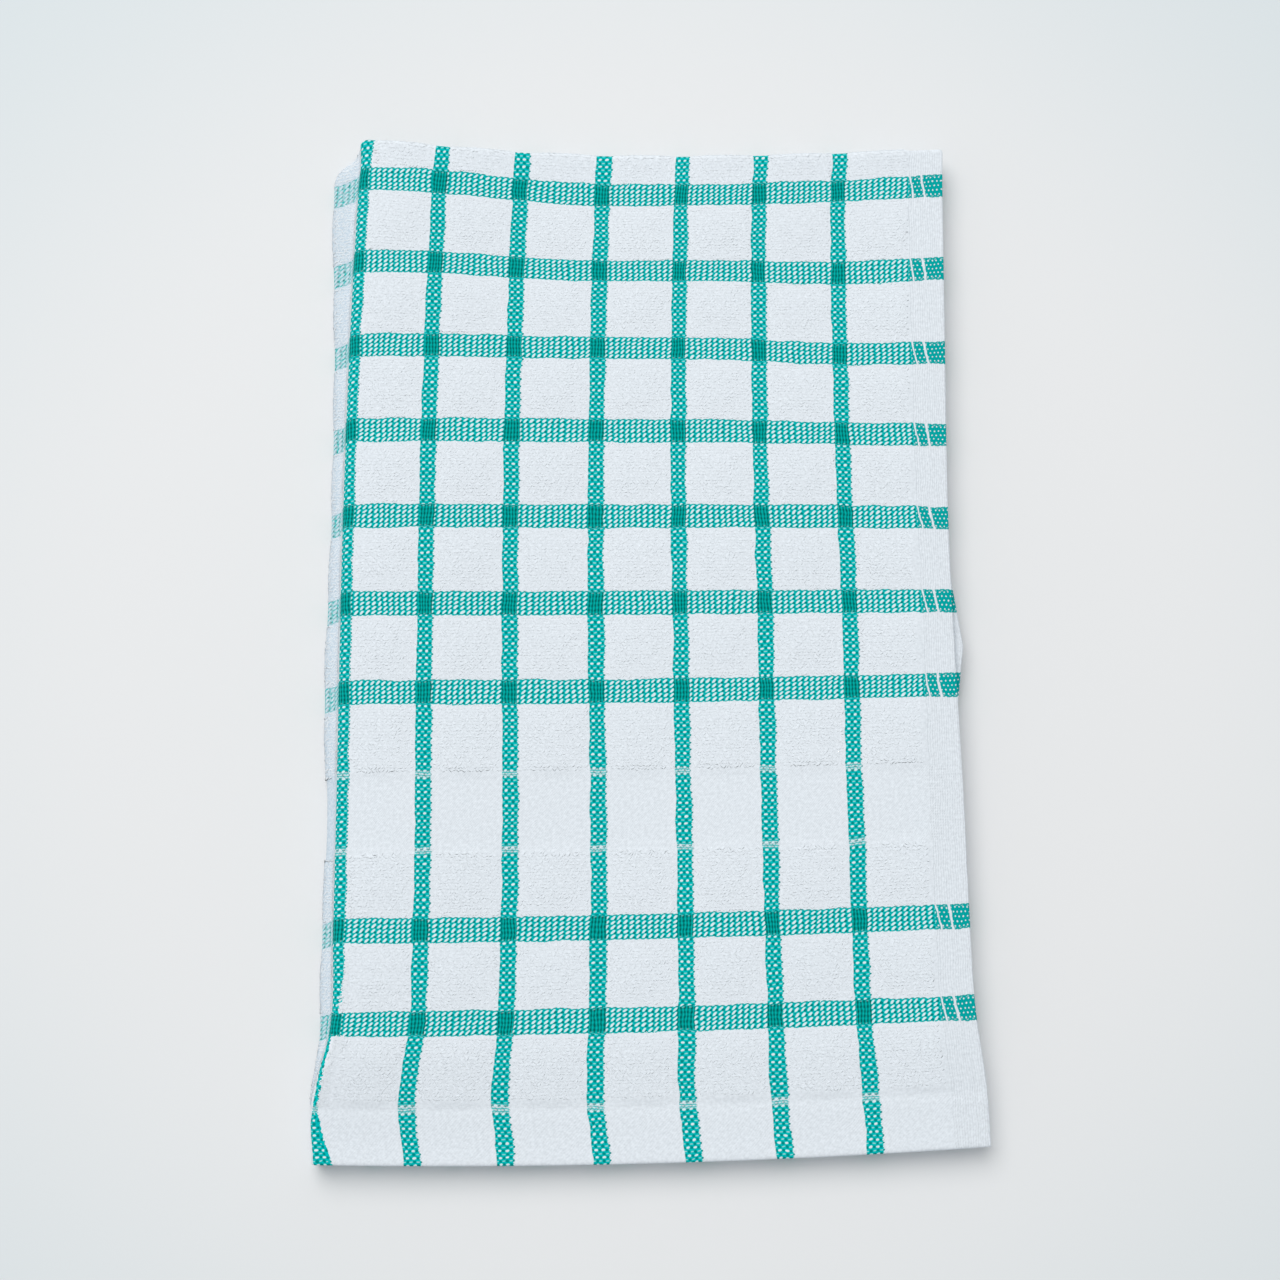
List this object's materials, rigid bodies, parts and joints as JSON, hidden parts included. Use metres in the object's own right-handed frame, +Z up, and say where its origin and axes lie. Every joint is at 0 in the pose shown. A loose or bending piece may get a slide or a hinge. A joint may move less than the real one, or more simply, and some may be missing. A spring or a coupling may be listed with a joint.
{
  "type": "dishcloth",
  "caption": "Checked terry kitchen cloth, folded in half twice and lying flat, with a soft long fold, a cross fold, selvedges and turned hems.",
  "frame": {"origin": "under the middle of the folded cloth's box, on the surface the cloth rests on", "axes": "+Z up; +Y towards the cross fold; +X towards the selvedges, so the long fold is on the -X side and the hems are at -Y"},
  "size_m": [0.2232, 0.3548, 0.0146],
  "materials": {
    "terry": "looped cotton terry, white with a woven green check"
  },
  "bodies": {
    "root": {"cloth": "terry"}
  },
  "joints": []
}
